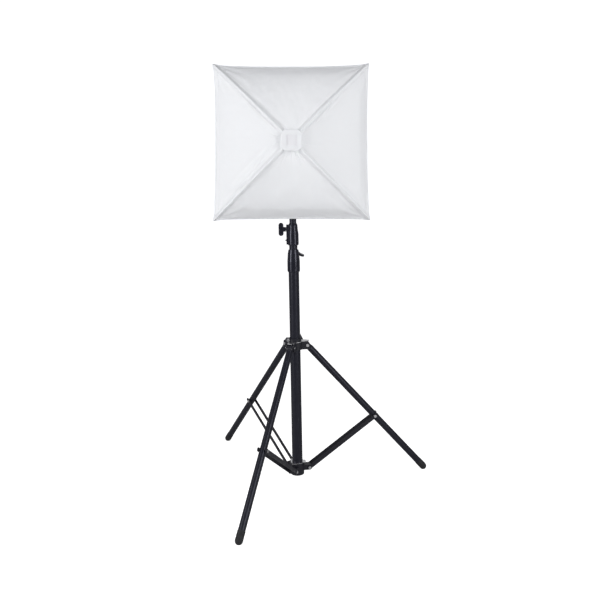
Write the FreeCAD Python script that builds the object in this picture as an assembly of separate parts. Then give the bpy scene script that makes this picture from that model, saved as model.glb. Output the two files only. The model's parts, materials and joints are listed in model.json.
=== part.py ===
import FreeCAD, Part
import math
import os

# Square softbox on a three-section light stand. Millimetres, +Z up, the softbox faces -Y, +X to the right.
# The origin is the centre of the flat lower face of the column's bottom plug, on the column's axis.

Vector = FreeCAD.Vector
ORIGIN = Vector(0, 0, 0)
RIGHT = Vector(1, 0, 0)
BACK = Vector(0, 1, 0)
UP = Vector(0, 0, 1)

# Fits
SLIDE_GAP = 0.05        # radial gap of a shaft that turns or slides in its hole
FLOOR = -18.0           # height of the floor under the bottom plug

# Column tubes, collapsed
COLUMN_RADIUS = 19.0
COLUMN_BORE = 17.5
COLUMN_LOW = 6.0
COLUMN_TOP = 788.0
MIDDLE_RADIUS = 15.0
MIDDLE_BORE = 13.8
MIDDLE_LOW = 60.0
MIDDLE_TOP = 882.0
TOP_RADIUS = 12.5
TOP_BORE = 11.3
TOP_LOW = 120.0
TOP_TOP = 1040.0

# Lock collars and knobs
MIDDLE_COLLAR_LOW = 734.0
MIDDLE_COLLAR_TOP = 814.5
MIDDLE_KNOB_HEIGHT = 795.0
MIDDLE_KNOB_AZIMUTH = 66.0
TOP_COLLAR_LOW = 831.0
TOP_COLLAR_TOP = 910.0
TOP_KNOB_HEIGHT = 889.0
TOP_KNOB_AZIMUTH = 180.0
SCREW_RADIUS = 4.0
LOCK_SCREW_END = 40.0    # from the column's axis
KNOB_BAR_LENGTH = 48.0
KNOB_BAR_THICKNESS = 18.0
KNOB_BAR_WIDTH = 8.0
KNOB_STEM_RADIUS = 8.5
HUB_KNOB_STEM_RADIUS = 6.5

# Legs and struts
LEG_AZIMUTHS = {1: 7.4, 2: 127.4, 3: 247.4}
LEG_RADIUS = 12.0
LEG_BORE = 10.8
LEG_LENGTH = 640.0      # from the leg's pivot to the centre of its rounded foot
LEG_ANGLE = 42.0        # from the vertical, legs open
PIVOT_RADIUS = 43.0     # distance of both pivots from the column's axis
LEG_PIVOT_HEIGHT = 467.5
STRUT_PIVOT_HEIGHT = 25.0
STRUT_ON_LEG = 368.0    # from the leg's pivot to the strut's pivot on the leg
PIN_RADIUS = 3.0
PIN_HEAD_RADIUS = 5.0
PIN_HEAD_THICKNESS = 2.0
BAR_WIDTH = 13.0
BAR_THICKNESS = 2.5
BAR_INNER = 13.5        # from the leg's centre plane to the bar's inner face
BAR_OVERRUN = 14.0      # bar length beyond the pivot on the leg
FOOT_RADIUS = 12.8
FOOT_SLEEVE = 28.0

# Leg hub and spreader hub
HUB_LOW = 453.5
HUB_BRACKET_TOP = 481.5
HUB_TOP = 494.5
HUB_RADIUS = 27.0
HUB_NECK_RADIUS = 23.0
HUB_KNOB_HEIGHT = 489.0
HUB_KNOB_AZIMUTH = 67.0
HUB_EAR_AZIMUTH = 187.0
CHEEK_INNER = 12.3
CHEEK_THICKNESS = 3.0
CHEEK_REACH = 51.0
PLATE_THICKNESS = 1.5
SPREADER_LOW = 2.0
SPREADER_TOP = 44.0
SPREADER_RADIUS = 24.0
LUG_RADIUS = 9.0
LUG_HALF_WIDTH = 13.3

# Head
PIVOT_HEIGHT = 1113.0
AXIS_HEIGHT = 1198.0    # the softbox's axis
SPIGOT_RADIUS = 7.94
SPIGOT_TOP = 1084.0
BRACKET_LOW = 1047.0
BRACKET_RADIUS = 15.0
EAR_INNER = 10.2
EAR_OUTER = 15.0
EAR_RADIUS = 12.0
TILT_BOLT_RADIUS = 4.0
HOLDER_RADIUS = 36.0
HOLDER_WALL = 3.0
HOLDER_FRONT = -50.0
HOLDER_BACK = 45.0
COVER_BACK = 60.0
SOCKET_RADIUS = 21.0
SOCKET_FRONT = -92.0
RING_RADIUS = 42.5
RING_FRONT = -66.0

# Softbox: bowed sides from the rod ring to the rim, closed by a domed cover with a hub at its centre
RIM_DEPTH = 290.0       # depths are measured in front of the column
RIM_HALF = 247.5
COVER_GAP = 2.0         # from the rim of the sides to the rim of the cover
SOFTBOX_TURN = 0.83     # the softbox sits slightly turned on its holder, clockwise as seen from the front
APEX_DEPTH = 420.0
APEX_HALF = 30.0
# Depth and half-width where the panels start, the same at the rim, and half the turn of their arc
SIDE_PROFILE = (62.0, 45.0, RIM_DEPTH, RIM_HALF, 17.0)
COVER_PROFILE = (APEX_DEPTH, APEX_HALF, RIM_DEPTH + COVER_GAP, RIM_HALF, -24.0)
FABRIC_THICKNESS = 1.5
SEAM_GAP = 0.3
TAPE_WIDTH = 12.0
TAPE_THICKNESS = 1.0
TAPE_GAP = 0.2
ROD_RADIUS = 2.0
ROD_INSET = 8.0         # from a corner seam of the sides in to the rod
RIB_OFFSET = 3.2        # from a corner seam of the cover out to the rib
ROD_SOCKET_RADIUS = 4.5
ROD_SOCKET_LENGTH = 20.0
RIB_SOCKET_LENGTH = 10.0
FRONT_HUB_HALF = 33.0
FRONT_HUB_DIAGONAL = 38.0
FRONT_HUB_THICKNESS = 9.0
FRONT_HUB_RECESS_HALF = 16.5
FRONT_HUB_RECESS = 3.0

# Lamp
LAMP_BASE_BACK = -95.0
LAMP_BASE_FRONT = -150.0
LAMP_BASE_RADIUS = 32.0
LAMP_CAP_RADIUS = 13.5
LAMP_TIP = -236.5
LAMP_TUBE_RADIUS = 8.5
LAMP_TUBE_OFFSET = 27.5
LAMP_BEND_RADIUS = 12.0


# Small builders

def save(name, shape):
    """Write one named piece."""
    shape.exportStep(f"parts/{name}.step")


def cylinder_between(start, end, radius):
    """Cylinder from one point to another."""
    return Part.makeCylinder(radius, (end - start).Length, start, end - start)


def upright(radius, low, high):
    """Cylinder on the column's axis."""
    return cylinder_between(Vector(0, 0, low), Vector(0, 0, high), radius)


def upright_tube(outer, inner, low, high):
    """Tube on the column's axis."""
    return upright(outer, low, high).cut(upright(inner, low, high))


def along_axis(radius, front, back):
    """Cylinder on the softbox's axis, from front to back."""
    return cylinder_between(Vector(0, front, AXIS_HEIGHT), Vector(0, back, AXIS_HEIGHT), radius)


def block(low, high):
    """Box between two corners."""
    size = high - low
    return Part.makeBox(size.x, size.y, size.z, low)


def turned(shape, azimuth):
    """Copy of a shape turned about the column's axis."""
    copy = shape.copy()
    copy.rotate(ORIGIN, UP, azimuth)
    return copy


def revolved(outline, centre, axis):
    """Solid of revolution of a closed outline of points."""
    face = Part.Face(Part.makePolygon(outline + [outline[0]]))
    return face.revolve(centre, axis, 360)


def turned_profile(pairs):
    """Solid of revolution about the column from (radius, height) pairs."""
    return revolved([Vector(radius, 0, height) for radius, height in pairs], ORIGIN, UP)


def joined(shapes):
    """One solid from several overlapping ones."""
    return shapes[0].multiFuse(shapes[1:]).removeSplitter()


def link_plate(start, end, radius, inner, outer):
    """Flat link in the XZ plane with round ends, lying between inner and outer in Y."""
    thickness = Vector(0, outer - inner, 0)
    direction = (end - start).normalize()
    side = direction.cross(BACK) * radius
    corners = [start + side, start - side, end - side, end + side]
    first_arc = Part.Arc(corners[0], start - direction * radius, corners[1]).toShape()
    last_arc = Part.Arc(corners[2], end + direction * radius, corners[3]).toShape()
    sides = [Part.makeLine(corners[1], corners[2]), Part.makeLine(corners[3], corners[0])]
    plate = Part.Face(Part.Wire([first_arc, sides[0], last_arc, sides[1]])).extrude(thickness)
    plate.translate(Vector(0, inner, 0))
    return plate


def mirrored(shape):
    """The shape together with its mirror image across the XZ plane, as separate solids."""
    return Part.makeCompound([shape, shape.mirror(ORIGIN, BACK)])


def pin_across(centre, half_length, radius, head_at):
    """Pivot pin across the XZ plane with a round head at each end."""
    reach = BACK * half_length
    pin = cylinder_between(centre - reach, centre + reach, radius)
    head = cylinder_between(centre + BACK * head_at, centre + BACK * (head_at + PIN_HEAD_THICKNESS), PIN_HEAD_RADIUS)
    return joined([pin, head, head.mirror(ORIGIN, BACK)])


# Positions in a leg's own plane, where the leg stands out along +X

def leg_pivot():
    return Vector(PIVOT_RADIUS, 0, LEG_PIVOT_HEIGHT)


def strut_foot():
    return Vector(PIVOT_RADIUS, 0, STRUT_PIVOT_HEIGHT)


def along_leg(distance):
    """Point on the leg's centreline, measured down from its pivot."""
    angle = math.radians(LEG_ANGLE)
    return leg_pivot() + Vector(math.sin(angle), 0, -math.cos(angle)) * distance


# Column

def lower_column_tube():
    return upright_tube(COLUMN_RADIUS, COLUMN_BORE, COLUMN_LOW, COLUMN_TOP)


def column_bottom_plug():
    flange = upright(COLUMN_RADIUS - 1, 0, COLUMN_LOW)
    core = upright(COLUMN_BORE, COLUMN_LOW, COLUMN_LOW + 24)
    return joined([flange, core])


def guide_bush(tube_radius, bore, low):
    """Plastic bush on a tube's lower end, running in the tube outside it."""
    body = upright(bore - SLIDE_GAP, low - 4, low + 30)
    hole = upright(tube_radius, low, low + 30)
    drain = upright(tube_radius - 4, low - 4, low)
    return body.cut(hole).cut(drain)


def radial_screw_hole(height, azimuth):
    hole = cylinder_between(Vector(0, 0, height), Vector(60, 0, height), SCREW_RADIUS)
    return turned(hole, azimuth)


def clamp_boss(near, far, height, radius, azimuth):
    boss = cylinder_between(Vector(near, 0, height), Vector(far, 0, height), radius)
    return turned(boss, azimuth)


def middle_lock_collar():
    """Collar pressed on the column's top, with a lip that guides the middle tube."""
    shell = turned_profile([
        (0, MIDDLE_COLLAR_LOW), (21.0, MIDDLE_COLLAR_LOW), (22.8, MIDDLE_COLLAR_LOW + 4),
        (22.8, MIDDLE_COLLAR_LOW + 38), (20.8, MIDDLE_COLLAR_TOP - 14), (18.2, MIDDLE_COLLAR_TOP),
        (0, MIDDLE_COLLAR_TOP)])
    boss = clamp_boss(10, 24.5, MIDDLE_KNOB_HEIGHT, 8, MIDDLE_KNOB_AZIMUTH)
    body = joined([shell, boss])
    body = body.cut(upright(COLUMN_RADIUS, MIDDLE_COLLAR_LOW, COLUMN_TOP))
    body = body.cut(upright(MIDDLE_RADIUS + SLIDE_GAP, COLUMN_TOP, MIDDLE_COLLAR_TOP))
    return body.cut(radial_screw_hole(MIDDLE_KNOB_HEIGHT, MIDDLE_KNOB_AZIMUTH))


def top_lock_collar():
    """Collar pressed on the middle tube's top, with a clamp ear and a lip for the top tube."""
    shell = turned_profile([
        (0, TOP_COLLAR_LOW), (18.5, TOP_COLLAR_LOW), (20.0, TOP_COLLAR_LOW + 4),
        (20.0, TOP_COLLAR_LOW + 40), (17.5, TOP_COLLAR_TOP - 22), (16.5, TOP_COLLAR_TOP - 6),
        (14.0, TOP_COLLAR_TOP), (0, TOP_COLLAR_TOP)])
    ear = block(Vector(-24.5, -6.5, TOP_COLLAR_LOW + 3), Vector(0, 6.5, TOP_COLLAR_TOP - 4))
    boss = clamp_boss(10, 25.5, TOP_KNOB_HEIGHT, 8, TOP_KNOB_AZIMUTH)
    bump = Part.makeCone(3.5, 1.2, 5, Vector(-24, 0, TOP_COLLAR_LOW + 18), Vector(-1, 0, 0))
    body = joined([shell, ear, boss, bump])
    body = body.cut(upright(MIDDLE_RADIUS, TOP_COLLAR_LOW, MIDDLE_TOP))
    body = body.cut(upright(TOP_RADIUS + SLIDE_GAP, MIDDLE_TOP, TOP_COLLAR_TOP))
    return body.cut(radial_screw_hole(TOP_KNOB_HEIGHT, TOP_KNOB_AZIMUTH))


def lock_screw(tip, height, azimuth):
    """Steel screw of a T-knob, its tip just clear of the tube that it locks."""
    end = Vector(LOCK_SCREW_END, 0, height)
    return turned(cylinder_between(Vector(tip, 0, height), end, SCREW_RADIUS - SLIDE_GAP), azimuth)


def t_knob(start, bar_near, height, azimuth, roll, stem_radius=KNOB_STEM_RADIUS):
    """Plastic T-knob: a round stem and a flat cross bar, bored for its screw."""
    bar_middle = bar_near + KNOB_BAR_THICKNESS / 2
    half = KNOB_BAR_LENGTH / 2 - KNOB_BAR_THICKNESS / 2
    bar = link_plate(Vector(bar_middle, 0, -half), Vector(bar_middle, 0, half), KNOB_BAR_THICKNESS / 2,
                     -KNOB_BAR_WIDTH / 2, KNOB_BAR_WIDTH / 2)
    bar = bar.makeFillet(2.5, bar.Edges)
    stem = cylinder_between(Vector(start, 0, 0), Vector(LOCK_SCREW_END + 2, 0, 0), stem_radius)
    hole = cylinder_between(Vector(0, 0, 0), Vector(LOCK_SCREW_END, 0, 0), SCREW_RADIUS - SLIDE_GAP)
    knob = joined([stem, bar]).cut(hole)
    knob.rotate(ORIGIN, RIGHT, roll)
    knob.translate(Vector(0, 0, height))
    return turned(knob, azimuth)


# Leg carriage

def for_each_leg(shape):
    return [turned(shape, azimuth) for azimuth in LEG_AZIMUTHS.values()]


def hub_cheek():
    """One of a leg bracket's two cheeks."""
    corner = 8.0
    outer = CHEEK_INNER + CHEEK_THICKNESS
    upper = link_plate(Vector(20, 0, HUB_BRACKET_TOP - corner),
                       Vector(CHEEK_REACH - corner, 0, HUB_BRACKET_TOP - corner), corner, CHEEK_INNER, outer)
    lower = link_plate(Vector(20, 0, HUB_LOW + corner),
                       Vector(CHEEK_REACH - corner, 0, HUB_LOW + corner), corner, CHEEK_INNER, outer)
    web = block(Vector(18, CHEEK_INNER, HUB_LOW + corner), Vector(CHEEK_REACH, outer, HUB_BRACKET_TOP - corner))
    return joined([upper, lower, web])


def hub_ear():
    """Ear of the clamp, its bolt running along the ear's own Y."""
    ear = block(Vector(18, -9, HUB_BRACKET_TOP + 1.8), Vector(33, 9, HUB_TOP))
    return turned(ear, HUB_EAR_AZIMUTH)


def hub_bolt_shank():
    shank = cylinder_between(Vector(27, -9, HUB_KNOB_HEIGHT), Vector(27, 9, HUB_KNOB_HEIGHT), 2.5)
    return turned(shank, HUB_EAR_AZIMUTH)


def leg_hub():
    ring = upright(HUB_RADIUS, HUB_LOW, HUB_BRACKET_TOP)
    neck = turned_profile([(0, HUB_BRACKET_TOP - 1), (HUB_NECK_RADIUS, HUB_BRACKET_TOP - 1),
                           (HUB_NECK_RADIUS, HUB_TOP - 2), (HUB_NECK_RADIUS - 2, HUB_TOP), (0, HUB_TOP)])
    cheeks = for_each_leg(hub_cheek()) + for_each_leg(hub_cheek().mirror(ORIGIN, BACK))
    boss = clamp_boss(10, 28, HUB_KNOB_HEIGHT, 5.4, HUB_KNOB_AZIMUTH)
    body = joined([ring, neck, boss, hub_ear()] + cheeks)
    body = body.cut(upright(COLUMN_RADIUS + SLIDE_GAP, HUB_LOW - 1, HUB_TOP + 1))
    body = body.cut(radial_screw_hole(HUB_KNOB_HEIGHT, HUB_KNOB_AZIMUTH)).cut(hub_bolt_shank())
    pin_hole = cylinder_between(leg_pivot() - BACK * 30, leg_pivot() + BACK * 30, PIN_RADIUS)
    for hole in for_each_leg(pin_hole):
        body = body.cut(hole)
    return body


def hub_cover_plate(low, inner, lobe_reach):
    """Bright plate with one lobe over each bracket."""
    disc = upright(inner + 5, low, low + PLATE_THICKNESS)
    lobe = block(Vector(0, -13.5, low), Vector(lobe_reach - 8, 13.5, low + PLATE_THICKNESS))
    tip = block(Vector(0, -8, low), Vector(lobe_reach, 8, low + PLATE_THICKNESS))
    plate = joined([disc] + for_each_leg(joined([lobe, tip])))
    return plate.cut(upright(inner, low - 1, low + PLATE_THICKNESS + 1))


def leg_hub_pins():
    cheek_outer = CHEEK_INNER + CHEEK_THICKNESS
    pin = pin_across(leg_pivot(), cheek_outer, PIN_RADIUS, cheek_outer)
    return Part.makeCompound(for_each_leg(pin))


def leg_hub_bolt():
    head = cylinder_between(Vector(27, 9, HUB_KNOB_HEIGHT), Vector(27, 13.5, HUB_KNOB_HEIGHT), 5.4)
    nut = cylinder_between(Vector(27, -13, HUB_KNOB_HEIGHT), Vector(27, -9, HUB_KNOB_HEIGHT), 5.0)
    ends = joined([turned(head, HUB_EAR_AZIMUTH), hub_bolt_shank(), turned(nut, HUB_EAR_AZIMUTH)])
    return ends


# Spreader

def spreader_hub():
    ring = upright(SPREADER_RADIUS, SPREADER_LOW, SPREADER_TOP)
    lug = link_plate(Vector(15, 0, STRUT_PIVOT_HEIGHT), strut_foot(), LUG_RADIUS, -LUG_HALF_WIDTH, LUG_HALF_WIDTH)
    body = joined([ring] + for_each_leg(lug))
    body = body.cut(upright(COLUMN_RADIUS, COLUMN_LOW, SPREADER_TOP + 1))
    body = body.cut(upright(COLUMN_RADIUS - 1, 0, COLUMN_LOW))
    pin_hole = cylinder_between(strut_foot() - BACK * 30, strut_foot() + BACK * 30, PIN_RADIUS)
    for hole in for_each_leg(pin_hole):
        body = body.cut(hole)
    return body


def spreader_pins():
    head_at = BAR_INNER + BAR_THICKNESS + 0.2
    pin = pin_across(strut_foot(), head_at, PIN_RADIUS, head_at)
    return Part.makeCompound(for_each_leg(pin))


# Legs, built standing out along +X

def leg_tube():
    start = along_leg(16)
    end = along_leg(LEG_LENGTH - 3)
    tube = cylinder_between(start, end, LEG_RADIUS).cut(cylinder_between(start, end, LEG_BORE))
    pivot = along_leg(STRUT_ON_LEG)
    return tube.cut(cylinder_between(pivot - BACK * 20, pivot + BACK * 20, PIN_RADIUS))


def leg_top_fitting():
    """Tongue on the leg's pivot with a plug in the tube."""
    tongue_radius = 10.0
    tongue = link_plate(leg_pivot(), along_leg(16 - tongue_radius), tongue_radius, -LEG_RADIUS, LEG_RADIUS)
    plug = cylinder_between(along_leg(10), along_leg(46), LEG_BORE)
    hole = cylinder_between(leg_pivot() - BACK * 20, leg_pivot() + BACK * 20, PIN_RADIUS + SLIDE_GAP)
    return joined([tongue, plug]).cut(hole)


def leg_strut_pin():
    """Steel pin across the leg with a spacer on each side."""
    pivot = along_leg(STRUT_ON_LEG)
    spacer_end = BAR_INNER - 0.1
    pin = cylinder_between(pivot - BACK * spacer_end, pivot + BACK * spacer_end, PIN_RADIUS)
    spacer = cylinder_between(pivot + BACK * (LEG_RADIUS + 0.05), pivot + BACK * spacer_end, 6)
    return joined([pin, spacer, spacer.mirror(ORIGIN, BACK)])


def leg_foot():
    """Rubber cap with a rounded end, flat where it stands on the floor."""
    sleeve = cylinder_between(along_leg(LEG_LENGTH - FOOT_SLEEVE), along_leg(LEG_LENGTH), FOOT_RADIUS)
    dome = Part.makeSphere(FOOT_RADIUS, along_leg(LEG_LENGTH))
    tube = cylinder_between(along_leg(LEG_LENGTH - FOOT_SLEEVE - 1), along_leg(LEG_LENGTH - 3), LEG_RADIUS)
    foot = joined([sleeve, dome]).cut(tube)
    below_floor = block(Vector(300, -50, FLOOR - 50), Vector(700, 50, FLOOR))
    return foot.cut(below_floor)


def strut_bars():
    top_pivot = along_leg(STRUT_ON_LEG)
    direction = (top_pivot - strut_foot()).normalize()
    far_end = top_pivot + direction * (BAR_OVERRUN - BAR_WIDTH / 2)
    bar = link_plate(strut_foot(), far_end, BAR_WIDTH / 2, BAR_INNER, BAR_INNER + BAR_THICKNESS)
    lower_hole = cylinder_between(strut_foot(), strut_foot() + BACK * 30, PIN_RADIUS + SLIDE_GAP)
    upper_hole = cylinder_between(top_pivot, top_pivot + BACK * 30, PIN_RADIUS)
    return mirrored(bar.cut(lower_hole).cut(upper_hole))


def strut_rivets():
    """A short headed rivet in each bar; the leg's own pin ends between them."""
    pivot = along_leg(STRUT_ON_LEG)
    outer = BAR_INNER + BAR_THICKNESS
    shank = cylinder_between(pivot + BACK * BAR_INNER, pivot + BACK * outer, PIN_RADIUS)
    head = cylinder_between(pivot + BACK * outer, pivot + BACK * (outer + PIN_HEAD_THICKNESS), PIN_HEAD_RADIUS)
    return mirrored(joined([shank, head]))


# Head

def spigot():
    return turned_profile([
        (0, TOP_TOP - 25), (TOP_BORE, TOP_TOP - 25), (TOP_BORE, TOP_TOP), (TOP_RADIUS, TOP_TOP),
        (TOP_RADIUS, TOP_TOP + 6), (SPIGOT_RADIUS, TOP_TOP + 6), (SPIGOT_RADIUS, TOP_TOP + 18),
        (SPIGOT_RADIUS - 1.2, TOP_TOP + 20), (SPIGOT_RADIUS - 1.2, TOP_TOP + 26), (SPIGOT_RADIUS, TOP_TOP + 28),
        (SPIGOT_RADIUS, SPIGOT_TOP - 1.5), (SPIGOT_RADIUS - 1.5, SPIGOT_TOP), (0, SPIGOT_TOP)])


def bracket_ear():
    """One ear of the yoke that carries the tilt pivot."""
    low = Vector(EAR_INNER, -EAR_RADIUS, PIVOT_HEIGHT - 25)
    high = Vector(EAR_OUTER, EAR_RADIUS, PIVOT_HEIGHT)
    cap = cylinder_between(Vector(EAR_INNER, 0, PIVOT_HEIGHT), Vector(EAR_OUTER, 0, PIVOT_HEIGHT), EAR_RADIUS)
    return joined([block(low, high), cap])


def tilt_bracket():
    """Sleeve on the spigot with a yoke above it."""
    base_top = PIVOT_HEIGHT - 20
    sleeve = upright(BRACKET_RADIUS, BRACKET_LOW, base_top - 6)
    base = block(Vector(-EAR_OUTER, -EAR_RADIUS, base_top - 10), Vector(EAR_OUTER, EAR_RADIUS, base_top))
    boss = clamp_boss(8, 20, BRACKET_LOW + 16, 8, 0)
    ears = [bracket_ear(), bracket_ear().mirror(ORIGIN, RIGHT)]
    body = joined([sleeve, base, boss] + ears)
    body = body.cut(upright(SPIGOT_RADIUS + SLIDE_GAP, BRACKET_LOW - 1, SPIGOT_TOP + 1))
    body = body.cut(radial_screw_hole(BRACKET_LOW + 16, 0))
    bolt_hole = cylinder_between(Vector(-30, 0, PIVOT_HEIGHT), Vector(30, 0, PIVOT_HEIGHT), TILT_BOLT_RADIUS)
    return body.cut(bolt_hole)


def bracket_clamp_knob():
    """Round knob and screw that lock the bracket on the spigot."""
    height = BRACKET_LOW + 16
    screw = cylinder_between(Vector(SPIGOT_RADIUS + 0.3, 0, height), Vector(30, 0, height), SCREW_RADIUS - SLIDE_GAP)
    grip = cylinder_between(Vector(21, 0, height), Vector(41, 0, height), 13)
    grip = grip.makeFillet(2, grip.Edges)
    for step in range(8):
        flute = cylinder_between(Vector(24, 0, height + 15), Vector(42, 0, height + 15), 3.5)
        flute.rotate(Vector(0, 0, height), RIGHT, 45 * step)
        grip = grip.cut(flute)
    return joined([screw, grip])


def tilt_bolt():
    """Bolt across the yoke; its head is on the left and the lever turns on its right end."""
    bolt = cylinder_between(Vector(-EAR_OUTER, 0, PIVOT_HEIGHT), Vector(24, 0, PIVOT_HEIGHT), TILT_BOLT_RADIUS)
    head = cylinder_between(Vector(-EAR_OUTER - 5, 0, PIVOT_HEIGHT), Vector(-EAR_OUTER, 0, PIVOT_HEIGHT), 7)
    return joined([bolt, head])


def tilt_lever():
    """Lever nut on the tilt bolt, its arm hanging down and back."""
    near = EAR_OUTER + 0.3
    hub = cylinder_between(Vector(near, 0, PIVOT_HEIGHT), Vector(near + 12, 0, PIVOT_HEIGHT), 9)
    arm = link_plate(Vector(0, 0, 0), Vector(30, 0, 0), 5, 0, 7)
    arm.rotate(ORIGIN, UP, 90)
    arm.rotate(ORIGIN, RIGHT, -40)
    arm.translate(Vector(near + 12, 0, PIVOT_HEIGHT))
    hole = cylinder_between(Vector(0, 0, PIVOT_HEIGHT), Vector(24, 0, PIVOT_HEIGHT), TILT_BOLT_RADIUS + SLIDE_GAP)
    return joined([hub, arm]).cut(hole)


def lamp_holder_body():
    """Round housing with the tilt lug under it."""
    lug_half = 10.0
    lug_radius = 11.0
    outside = along_axis(HOLDER_RADIUS, HOLDER_FRONT, HOLDER_BACK)
    lug = block(Vector(-lug_half, -lug_radius, PIVOT_HEIGHT), Vector(lug_half, lug_radius, AXIS_HEIGHT - 30))
    lug_end = cylinder_between(Vector(-lug_half, 0, PIVOT_HEIGHT), Vector(lug_half, 0, PIVOT_HEIGHT), lug_radius)
    body = joined([outside, lug, lug_end])
    body = body.cut(along_axis(HOLDER_RADIUS - HOLDER_WALL, HOLDER_FRONT + 4, HOLDER_BACK))
    body = body.cut(along_axis(SOCKET_RADIUS, HOLDER_FRONT, HOLDER_FRONT + 4))
    hole = cylinder_between(Vector(-30, 0, PIVOT_HEIGHT), Vector(30, 0, PIVOT_HEIGHT), TILT_BOLT_RADIUS + SLIDE_GAP)
    return body.cut(hole)


def switch_centre():
    return Vector(0, COVER_BACK - 2, AXIS_HEIGHT + 11)


def inlet_centre():
    return Vector(0, COVER_BACK, AXIS_HEIGHT - 12)


def block_about(centre, size):
    """Box of a given size about a centre."""
    return block(centre - size / 2, centre + size / 2)


def rear_cover():
    """Domed cover with pockets for the rocker switch and the power inlet."""
    inner = HOLDER_RADIUS - HOLDER_WALL
    outline = [(0, HOLDER_BACK - 8), (inner, HOLDER_BACK - 8), (inner, HOLDER_BACK), (HOLDER_RADIUS, HOLDER_BACK),
               (HOLDER_RADIUS, COVER_BACK - 8), (HOLDER_RADIUS - 4, COVER_BACK), (0, COVER_BACK)]
    points = [Vector(radius, depth, AXIS_HEIGHT) for radius, depth in outline]
    cover = revolved(points, Vector(0, 0, AXIS_HEIGHT), BACK)
    cover = cover.cut(block_about(switch_centre(), Vector(15, 12, 25)))
    return cover.cut(block_about(inlet_centre(), Vector(22, 18, 13)))


def power_switch():
    return block_about(switch_centre() + BACK * 1.5, Vector(14, 6, 21))


def power_inlet():
    """Two-pin inlet set in the rear cover."""
    shell = block_about(inlet_centre() - BACK * 4, Vector(22, 10, 13))
    mouth = block_about(inlet_centre(), Vector(16, 12, 8))
    pins = [cylinder_between(inlet_centre() + Vector(side, -7, 0), inlet_centre() + Vector(side, -1, 0), 1.2)
            for side in (-4.3, 4.3)]
    return joined([shell.cut(mouth)] + pins)


def lamp_socket():
    """Screw socket that stands out of the housing's front."""
    barrel = along_axis(SOCKET_RADIUS, SOCKET_FRONT, HOLDER_FRONT + 4)
    flange = along_axis(SOCKET_RADIUS + 4, HOLDER_FRONT + 4, HOLDER_FRONT + 8)
    bore = along_axis(LAMP_CAP_RADIUS, SOCKET_FRONT, HOLDER_FRONT)
    return joined([barrel, flange]).cut(bore)


def lamp_cap():
    return along_axis(LAMP_CAP_RADIUS, LAMP_BASE_BACK, HOLDER_FRONT - 12)


def lamp_base():
    outline = [(0, LAMP_BASE_BACK), (20, LAMP_BASE_BACK), (LAMP_BASE_RADIUS, LAMP_BASE_BACK - 16),
               (LAMP_BASE_RADIUS, LAMP_BASE_FRONT + 3), (LAMP_BASE_RADIUS - 3, LAMP_BASE_FRONT), (0, LAMP_BASE_FRONT)]
    points = [Vector(radius, depth, AXIS_HEIGHT) for radius, depth in outline]
    return revolved(points, Vector(0, 0, AXIS_HEIGHT), BACK)


def lamp_bend():
    """One U-shaped tube of the lamp, on its upper side."""
    bend_centre = Vector(0, LAMP_TIP + LAMP_TUBE_RADIUS + LAMP_BEND_RADIUS, AXIS_HEIGHT + LAMP_TUBE_OFFSET)
    bend = Part.makeTorus(LAMP_BEND_RADIUS, LAMP_TUBE_RADIUS, bend_centre, UP)
    half_space = Vector(40, 40, 20)
    bend = bend.common(block(bend_centre - half_space, bend_centre + Vector(40, 0, 20)))
    tubes = []
    for side in (-1, 1):
        start = bend_centre + RIGHT * side * LAMP_BEND_RADIUS
        tubes.append(cylinder_between(start, Vector(start.x, LAMP_BASE_FRONT, start.z), LAMP_TUBE_RADIUS))
    return joined([bend] + tubes)


def about_axis(shape, angle):
    """Copy of a shape turned about the softbox's axis."""
    copy = shape.copy()
    copy.rotate(Vector(0, 0, AXIS_HEIGHT), BACK, angle)
    return copy


def four_round(shape):
    """Four copies of a shape, a quarter turn apart about the softbox's axis."""
    return [about_axis(shape, 90 * quarter) for quarter in range(4)]


def lamp_tubes():
    return Part.makeCompound(four_round(lamp_bend()))


# Softbox

def bow_arc(profile):
    """Radius, centre and end angles of a profile's arc, in a plane of depth and half-width."""
    start_depth, start_half, end_depth, end_half, half_turn_degrees = profile
    run = end_depth - start_depth
    rise = end_half - start_half
    half_turn = math.radians(half_turn_degrees)
    radius = math.hypot(run, rise) / (2 * math.sin(abs(half_turn)))
    slope = math.atan2(rise, run)
    quarter_turn = math.copysign(math.pi / 2, half_turn)
    start_angle = slope + half_turn + quarter_turn
    end_angle = slope - half_turn + quarter_turn
    centre_depth = start_depth - radius * math.cos(start_angle)
    centre_half = start_half - radius * math.sin(start_angle)
    return radius, centre_depth, centre_half, start_angle, end_angle


def bow_point(profile, share, inset):
    """Depth and half-width of a panel's middle line, inset towards the lamp."""
    radius, centre_depth, centre_half, start_angle, end_angle = bow_arc(profile)
    angle = start_angle + (end_angle - start_angle) * share
    reach = radius - inset
    return centre_depth + reach * math.cos(angle), centre_half + reach * math.sin(angle)


def side_point(profile, share, inset):
    """Point of the lower panel's middle line."""
    depth, half = bow_point(profile, share, inset)
    return Vector(0, -depth, AXIS_HEIGHT - half)


def lower_side(profile, first_share, near_inset, far_inset):
    """Bowed strip of the lower panel up to the rim, between two insets, mitred at its diagonal seams."""
    shares = (first_share, (first_share + 1) / 2, 1)
    outer = [side_point(profile, share, near_inset) for share in shares]
    inner = [side_point(profile, share, far_inset) for share in shares]
    edges = [Part.Arc(*outer).toShape(), Part.makeLine(outer[2], inner[2]),
             Part.Arc(inner[2], inner[1], inner[0]).toShape(), Part.makeLine(inner[0], outer[0])]
    reach = RIM_HALF + 50
    strip = Part.Face(Part.Wire(edges)).extrude(RIGHT * 2 * reach)
    strip.translate(RIGHT * -reach)
    apex = Vector(0, 0, AXIS_HEIGHT - SEAM_GAP)
    wedge_corners = [apex, apex + Vector(-reach, 0, -reach), apex + Vector(reach, 0, -reach), apex]
    wedge = Part.Face(Part.makePolygon(wedge_corners)).extrude(BACK * (-APEX_DEPTH - 50))
    return strip.common(wedge)


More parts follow.
